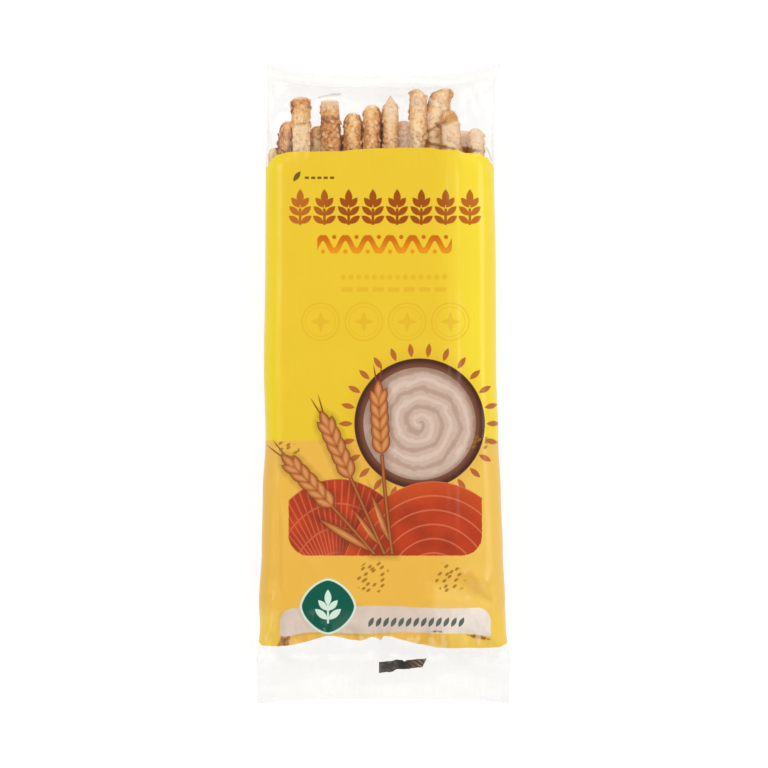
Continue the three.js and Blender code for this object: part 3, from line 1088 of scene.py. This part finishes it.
def clear_film():
    """Thin clear film: nearly all see-through, with gloss, a little haze with painted sheen where it lies
    double and clings to the sticks, painted light over two deeper sticks, and more haze and a painted
    reflection where it is seen at a slant."""
    finish = Finish("clear_film")
    place, x, y = finish.flat_place()
    cling = finish.number_on("cling")
    cloud = finish.noise(6, place, 2)
    fine = finish.noise(1.6, place, 3, 0.6)
    uneven = (cloud - 0.5) * 3.0 + (fine - 0.5) * 1.2
    # Haze patches where the film clings to the sticks, whitened as painted sheen, and a painted light patch
    # over two deeper sticks in shade.
    right_patch = inside(box(x, y, (21, 103.5), 20.5, 11.0, 3.0) + uneven, 0.9)
    left_patch = inside(box(x, y, (-29.6, 96), 5.6, 7.2, 0.8) + (fine - 0.5) * 1.2, 0.5)
    tip_patch = box(x, y, (-21, 114), 5.0, 3.6, 2.0).least(box(x, y, (38.8, 98.8), 3.2, 3.6, 2.0))
    tip_patch = inside(tip_patch + uneven * 0.7, 2.0)
    painted_light_patch = box(x, y, (32.6, 97), 1.8, 3.4, 1.0).least(box(x, y, (8.6, 99), 2.4, 6.0, 1.0))
    painted_light_patch = inside(painted_light_patch + uneven * 0.3, 0.8)
    haze_and_sheen = (right_patch * 0.24).most(left_patch * 0.17).most(tip_patch * 0.4) * cling
    haze_and_sheen = haze_and_sheen.most(painted_light_patch * 0.22)
    # The crimped seals are frosted, apart from the seam under them, and film seen at a slant is painted
    # whiter, as its reflection.
    seal = y.step(110, 120).most(y.step(-104, -113)) * inside(x - SEAM_PLACE + 5, 1)
    facing = finish.node("LayerWeight", {}, {"Blend": 0.5}, output=1)
    slant = facing.step(0.22, 1.0) * 0.4
    frost = seal * (cloud * 0.05 + 0.085)
    alpha = haze_and_sheen + slant + frost + cloud * 0.02 + 0.03

    # Folds, painted: a pale highlight where the film stands up, grey for its own shadow, and brown shade
    # along the folds over the right tips.
    ragged = (fine - 0.5) * 0.8
    pale = folds(x, y, PALE_FOLDS)
    pale = inside(pale + ragged * 0.5, 0.9) * 0.5
    grey = inside(folds(x, y, GREY_FOLDS) + ragged * 0.4, 0.5) * 0.5
    olive = inside(folds(x, y, OLIVE_FOLDS) + ragged * 0.5, 0.5) * 0.6
    brown = folds(x, y, BROWN_FOLDS).least(disc(x, y, (21.8, 102.8), 1.0))
    brown = (inside(brown + ragged, 0.5) * (0.5 + fine * 0.7)).clamped()
    brown = brown.most(inside(folds(x, y, FAINT_FOLDS) + ragged, 0.4) * (0.1 + fine))
    golden = box(*turned(x, y, (26.3, 105.9), 25), (0, 0), 3.2, 1.8, 1.0)
    golden = inside(golden + ragged, 0.8) * 0.55

    colour = finish.layers(
        rgb(255, 246, 226),
        (rgb(236, 232, 222), (frost * 10).clamped()),
        (finish.blend(rgb(240, 220, 200), rgb(238, 224, 208), cloud), (haze_and_sheen * 10).clamped()),
        (rgb(255, 250, 240), pale.step(0, 0.1)),
        (rgb(150, 144, 136), grey.step(0, 0.1)),
        (rgb(126, 108, 66), olive.step(0, 0.1)),
        (rgb(196, 136, 60), golden.step(0, 0.05)),
        (rgb(116, 58, 10), brown.step(0, 0.1)),
    )
    marks = pale.most(grey).most(olive).most(golden).most(brown)
    normal = finish.bump(finish.noise(5, place, 3, 0.6, 0.3), 0.3 * MM, 0.6)
    return finish.surface(
        {
            "Base Color": colour,
            "Metallic": (1 - (haze_and_sheen + slant + frost + marks) * 8).most(0) * 0.6,
            "Roughness": cloud * 0.1 + 0.12,
            "Alpha": alpha.most(marks).clamped(),
            "Normal": normal,
        }
    )


def crust():
    """Dry baked dough, from pale to golden brown, with browned specks."""
    finish = Finish("crust")
    place = finish.place_in_piece()
    brown = finish.number_on("brown")
    bumps = finish.number_on("bumps")
    large = finish.noise(6 * MM, place, 3)
    small = finish.noise(1.5 * MM, place, 3, 0.6)
    grit = finish.noise(0.6 * MM, place, 2, 0.6)
    # The brown number carries the browning and a painted shade on the sides and underside of each stick.
    level = (brown + (large - 0.5) * 0.7 + (small - 0.5) * 1.1 - bumps * 0.3).clamped()
    baked = finish.node(
        "ValToRGB",
        {
            "stops": [
                (0.0, rgb(244, 216, 172)),
                (0.35, rgb(234, 190, 130)),
                (0.6, rgb(218, 158, 90)),
                (0.82, rgb(190, 120, 56)),
                (1.0, rgb(138, 76, 28)),
            ]
        },
        {0: level},
    )
    specks = small.step(0.58, 0.68) * 0.45
    flour = grit.step(0.56, 0.68) * 0.25
    colour = finish.blend(baked, rgb(140, 84, 40), specks)
    colour = finish.blend(colour, rgb(240, 220, 188), flour)
    normal = finish.bump(small * 0.7 + grit * 0.5, 0.35 * MM, 0.8)
    return finish.surface({"Base Color": colour, "Roughness": small * 0.2 + 0.62, "Normal": normal})


def sesame():
    """Toasted seeds, each a shade of its own, darker at the point."""
    finish = Finish("sesame")
    place = finish.place_in_piece()
    shade = finish.number_on("shade")
    point = finish.number_on("point")
    grain = finish.noise(0.4 * MM, place, 2)
    colour = finish.blend(rgb(240, 204, 150), rgb(196, 132, 70), shade.clamped())
    colour = finish.blend(colour, rgb(134, 80, 38), point * 0.6)
    colour = finish.shade(colour, grain * 0.2 + 0.9)
    normal = finish.bump(grain, 0.06 * MM, 0.6)
    return finish.surface({"Base Color": colour, "Roughness": grain * 0.1 + 0.42, "Normal": normal})


def ink():
    """A dark stamp: flat grey on its left part, and brown with pale slanting strokes on its right."""
    finish = Finish("date_ink")
    place, x, y = finish.flat_place()
    cloud = finish.noise(2.2, place, 2)
    fine = finish.noise(0.5, place, 3)
    right = x.step(8, 12)
    pitch = 1.9
    stroke = (x * 0.72 + y + (cloud - 0.5) * 1.5) / pitch
    stroke = abs(stroke - stroke.nearest()) * pitch + (cloud - 0.5) * 1.6
    strokes = inside(stroke - 0.28, 0.35) * right
    colour = finish.layers(
        rgb(56, 48, 42),
        (rgb(84, 75, 68), cloud.step(0.4, 0.65)),
        (rgb(30, 20, 13), x.step(4.6, 6.8)),
        (rgb(76, 48, 32), right * cloud.step(0.35, 0.6)),
        (rgb(186, 156, 136), strokes * (x.step(10, 16) * 0.5 + 0.14)),
    )
    colour = finish.shade(colour, fine * 0.5 + 0.75)
    return finish.surface({"Base Color": colour, "Roughness": fine * 0.3 + 0.4})


def backdrop():
    """Pale matt paper lit from below."""
    finish = Finish("backdrop")
    place = finish.place_in_piece()
    colour = finish.blend(rgb(98, 98, 98), rgb(102, 102, 102), finish.noise(0.2, place))
    lit = {"Emission Color": (1, 1, 1, 1), "Emission Strength": 0.88}
    return finish.surface({"Base Color": colour, "Roughness": 0.9, "Specular IOR Level": 0.1, **lit})


# ----------------------------------------
# The breadsticks and their seeds.


FOOT_RINGS = np.array([0, 0.05, 0.2, 0.5, 0.9, 1.4, 2.0, 2.6])  # above the foot
TIP_RINGS = 13
TIP_REACH = 1.2  # down from the tip to the lowest of them


def stick_rings(stick):
    """The heights of a stick's rings: close together at both ends and where it shows."""
    foot = stick.foot_y + FOOT_RINGS
    hidden = np.arange(foot[-1] + HIDDEN_STEP, WINDOW_Y, HIDDEN_STEP)
    shown = np.arange(WINDOW_Y, stick.tip_y - TIP_REACH, SHOWN_STEP)
    tip = stick.tip_y - TIP_REACH * np.cos(np.linspace(0, np.pi / 2, TIP_RINGS + 1)[1:]) ** 2
    return np.concatenate([foot, hidden, shown, tip])


AROUND = 64  # the random surfaces of the crust are this many units round a stick
CRUST_BUMPS = ((16.0, 1, 0.18), (4.0, 1.6, 0.15), (2.0, 0.5, 0.08))  # size, length, height in millimetres
PIT_DEPTH = 0.75


def stick_surface(stick, y, angle):
    """Points on a stick's crust, with its uneven bumps, at heights y and angles round it."""
    seed = 100 + stick.number
    around = (angle % (2 * np.pi)) / (2 * np.pi) * AROUND
    bumps = 0
    for i, (size, length, height) in enumerate(CRUST_BUMPS):
        bumps = bumps + ripple(around, y / length, size, seed + 40 * i) * height
    pits = np.clip(ripple(around, y / 0.6, 4.0, seed + 120) - 0.5, 0, 1) * -PIT_DEPTH
    width = stick.width(y)
    fade = np.clip(width / stick.radius, 0, 1)
    radius = width * CRUST_SHARE + (bumps + pits) * fade
    middle_x, middle_z = stick.middle(y)
    x = middle_x + radius * np.cos(angle)
    z = middle_z + radius * np.sin(angle)
    near_tip = smooth(1 - (stick.tip_y - y) / 5)
    y = y - near_tip * stick.cut_back * (np.cos(angle) * 0.5 + 0.5) * width
    return np.stack([x, y, z], axis=-1), bumps + pits


def add_stick(stick, material):
    rings = stick_rings(stick)
    angles = np.arange(STICK_SIDES) / STICK_SIDES * 2 * np.pi
    y, angle = np.meshgrid(rings, angles, indexing="ij")
    points, bumps = stick_surface(stick, y, angle)
    faces = closed_faces(len(rings), STICK_SIDES)
    # The sides and underside of each stick are painted darker, as shade between the sticks, on top of its
    # browning.
    side_shade = 0.42 * np.clip(1 - np.sin(angle), 0, 1) ** 0.8
    patchy = 0.2 * ripple(angle / (2 * np.pi) * AROUND, y / 6, 16, 300 + stick.number)
    brown = stick.brown_at(y) + side_shade + patchy
    values = {"brown": brown.ravel(), "bumps": bumps.ravel()}
    name = "breadstick_" + stick.name
    return add_piece(name, points.reshape(-1, 3), faces, material, values=values)


SEED_LENGTH = 2.5
SEED_WIDTH = 1.5
SEED_HEIGHT = 0.7
SEEDS_SHOWN = 1.6  # for each millimetre of a stick where it shows
SEEDS_HIDDEN = 0.35
SEED_ROOM = 0.12  # how far from the film the seeds stay
SEED_TURN = 0.9  # how far they turn from the stick's direction, in radians
SEED_SIZES = (0.82, 1.12)
SEED_DEPTHS = (0.1, 0.32)  # in the crust


SEED_ROWS, SEED_SIDES = 6, 9


def seed_shape():
    """A flat drop with its point at +x."""
    t = np.linspace(0.02, 0.98, SEED_ROWS)[:, None]
    turns = np.arange(SEED_SIDES) / SEED_SIDES * 2 * np.pi
    half = np.sqrt(1 - (2 * t - 1) ** 2) * (1 - 0.45 * t)
    x = (t - 0.5) * SEED_LENGTH
    y = half * np.cos(turns) * SEED_WIDTH * 0.62
    z = half * np.sin(turns) * SEED_HEIGHT * 0.6
    points = np.stack(np.broadcast_arrays(x, y, z), axis=-1).reshape(-1, 3)
    return points, closed_faces(SEED_ROWS, SEED_SIDES)


def inside_film(seeds):
    """Whether each seed, a row of points, stays inside the film."""
    x, y, z = np.moveaxis(seeds, -1, 0)
    u = place_across(x, y)
    above = film_at(u, y, "face")[1] - z
    below = z - film_at(u, y, "back")[1]
    return np.all((np.abs(u) < 0.99) & (above > SEED_ROOM) & (below > SEED_ROOM), axis=1)


def add_seeds(material):
    """Sesame pressed into the crusts, as one mesh. Each seed lies flat on the crust, turned at random."""
    rng = np.random.default_rng(7)
    shape, shape_faces = seed_shape()
    tip_share = np.clip(shape[:, 0] / SEED_LENGTH * 2, 0, 1) ** 2
    points, faces, shades, tips = [], [], [], []
    for stick in sticks:
        shown = max(stick.tip_y - WINDOW_Y, 0)
        hidden = WINDOW_Y - stick.foot_y
        heights = np.concatenate(
            [
                rng.uniform(WINDOW_Y, stick.tip_y - 1.5, int(shown * SEEDS_SHOWN)),
                rng.uniform(stick.foot_y + 2, WINDOW_Y, int(hidden * SEEDS_HIDDEN)),
            ]
        )
        heights = heights[stick.width(heights) > stick.radius * 0.8]
        angles = rng.uniform(0, 2 * np.pi, len(heights))
        # The crust at each seed, a little further along it, and a little further round it.
        centres = stick_surface(stick, heights, angles)[0]
        ahead = stick_surface(stick, heights + 0.8, angles)[0]
        aside = stick_surface(stick, heights, angles + 0.25)[0]
        browns = stick.brown_at(heights) + rng.uniform(-0.1, 0.25, len(heights))
        seeds = []
        for centre, forward, sideways in zip(centres, ahead - centres, aside - centres):
            normal = np.cross(forward, sideways)
            normal /= -np.linalg.norm(normal) - 1e-9
            forward = forward / np.linalg.norm(forward)
            sideways = np.cross(normal, forward)
            turn = rng.normal(0, SEED_TURN)
            first = math.cos(turn) * forward + math.sin(turn) * sideways
            second = np.cross(normal, first)
            size = rng.uniform(*SEED_SIZES)
            depth = rng.uniform(*SEED_DEPTHS)
            seeds.append(shape * size @ np.stack([first, second, normal]) + centre - normal * depth)
        seeds = np.array(seeds)
        for seed, brown, kept in zip(seeds, browns, inside_film(seeds)):
            if kept:
                faces.extend(face + len(points) * len(shape) for face in shape_faces)
                points.append(seed)
                shades.extend([brown] * len(shape))
                tips.extend(tip_share)
    values = {"shade": shades, "point": tips}
    return add_piece("sesame_seeds", np.concatenate(points), faces, material, values=values)


# ----------------------------------------
# Small parts of the pack.


SEAM_LEFT, SEAM_WIDTH = -2, 11
SEAM_STEP = 1.5  # between its rows of points
SEAM_RIBS = 6


def add_back_seam(name, low, high, material):
    """A stretch of the tube's long seam: a flat fin along the middle of the back, folded to one side."""
    y = np.linspace(low, high, max(8, int((high - low) / SEAM_STEP)))[:, None]
    across = np.linspace(0, 1, 2 * SEAM_RIBS + 1)[None, :]
    width = SEAM_WIDTH + 0.4 * np.sin(y / 13)
    x = SEAM_LEFT + across * width
    ribs = np.abs((across * 2 * SEAM_RIBS) % 2 - 1)
    lift = 0.22 + 0.12 * ribs + 0.06 * np.sin(y / 7 + across * 3)
    z = np.maximum(film_at(place_across(x, y), y, "back")[1] - 0.42 + lift * 0.5, 0.02)
    points = np.stack(np.broadcast_arrays(x, y, z), axis=-1)
    quads = grid_faces(*points.shape[:2], flipped=True)
    flat = np.stack(np.broadcast_arrays(SEAM_PLACE + across, y), axis=-1).reshape(-1, 2)
    uv = flat[quads].reshape(-1, 2)
    return add_piece(name, points.reshape(-1, 3), quads, material, uv)


MARK_LOW, MARK_HIGH = (-1.7, -115.8), (17.4, -110.0)  # two opposite corners of the stamp
MARK_TALL = 4.4  # at its left end
MARK_STEP = 0.8  # how much less it is on its right part
MARK_COLUMNS, MARK_ROWS = 60, 8
MARK_LIFT = 0.06  # over the film
SEAL_HALF_WIDTH = 50.6


def add_date_mark(material):
    """The stamped strip on the clear film of the lower seal, a little tilted and with uneven edges."""
    s, t = np.meshgrid(np.linspace(0, 1, MARK_COLUMNS + 1), np.linspace(0, 1, MARK_ROWS + 1))
    tall = MARK_TALL - MARK_STEP * smooth((s - 0.25) / 0.3) + 0.16 * ripple(s * 19, 0 * s, 1.3, 31)
    bump, notch = np.exp(-(((s - 0.38) / 0.07) ** 2)), np.exp(-(((s - 0.54) / 0.03) ** 2))
    top = mix(MARK_LOW[1] + MARK_TALL, MARK_HIGH[1], s) + 0.14 * ripple(s * 19, 0 * s, 1.1, 32)
    y = top + 0.4 * bump - 0.6 * notch * t - (1 - t) * tall
    x = mix(MARK_LOW[0], MARK_HIGH[0], s) - 1.7 * smooth((s - 0.9) / 0.1) * (1 - t)
    z = film_at(x / SEAL_HALF_WIDTH, y, "face")[1] + MARK_LIFT
    points = np.stack([x, y, z], axis=-1).reshape(-1, 3)
    quads = grid_faces(*x.shape)
    return add_piece("date_mark", points, quads, material, points[quads][..., :2].reshape(-1, 2))


# ----------------------------------------
# The pack.

film_print = printed_film()
film_clear = clear_film()
crust_finish = crust()

body = film_tube("printed_sleeve", print_foot, print_top, 230, film_print)
film_tube("clear_upper_end", print_top, lambda u: seal_lines(u)[3], 90, film_clear)
film_tube("clear_lower_end", lambda u: seal_lines(u)[0], print_foot, 60, film_clear)
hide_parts(PACK)
for stick in sticks:
    add_stick(stick, crust_finish)
add_seeds(sesame())
add_back_seam("back_seam", -100, 93, film_print)
add_back_seam("back_seam_upper_end", 93, 116, film_clear)
add_back_seam("back_seam_lower_end", -112, -100, film_clear)
add_date_mark(ink())

# ----------------------------------------
# The floor, the lights and the camera, in metres.

# The radius and height of each ring of the floor.
FLOOR_RINGS = ((0.4, 0), (1.2, 0), (2.2, 0), (2.5, 0.03), (2.75, 0.12), (2.92, 0.27), (3, 0.5), (3, 0.7))
FLOOR_SIDES = 48


def add_floor(material):
    """A round floor that turns up at its edge."""
    turns = np.arange(FLOOR_SIDES) / FLOOR_SIDES * 2 * np.pi
    rings = [
        np.stack([radius * np.cos(turns), radius * np.sin(turns), np.full(FLOOR_SIDES, height)], axis=-1)
        for radius, height in FLOOR_RINGS
    ]
    quads = grid_faces(len(FLOOR_RINGS), FLOOR_SIDES, closed=True, flipped=True)
    faces = [np.arange(FLOOR_SIDES), *quads]
    return add_object("floor", smooth_mesh("floor", np.concatenate(rings) / MM, faces, material))


floor = add_floor(backdrop())


def add_lamp(name, place, size, watts):
    """A soft square light that faces the pack."""
    light = bpy.data.lights.new(name, "AREA")
    light.size, light.energy = size, watts
    lamp = add_object(name, light, place)
    lamp.rotation_euler = (-lamp.location).to_track_quat("-Z", "Y").to_euler()


add_lamp("left_lamp", (-1.1, 0.5, 1.3), 0.9, 11.5)
add_lamp("right_lamp", (1.15, 0.3, 1.25), 0.9, 12)
add_lamp("far_lamp", (0.0, 1.3, 1.2), 1.0, 7)
add_lamp("near_lamp", (0.1, -1.3, 1.3), 1.0, 7)

world = bpy.data.worlds.new("studio")
world.use_nodes = True
sky = world.node_tree.nodes["Background"].inputs
sky["Color"].default_value = (1, 1, 1, 1)
sky["Strength"].default_value = 0.28
bpy.context.scene.world = world
bpy.context.scene.view_settings.view_transform = "Standard"

VIEW_WIDTH = 0.3072  # across the view, at VIEW_LEVEL above the floor
VIEW_LEVEL = 0.009
VIEW_HEIGHT = 1.5  # of the camera above that level
view = bpy.data.cameras.new("camera")
view.lens = view.sensor_width * VIEW_HEIGHT / VIEW_WIDTH
camera = add_object("camera", view, (0.0003, -0.0002, VIEW_HEIGHT + VIEW_LEVEL))
bpy.context.scene.camera = camera
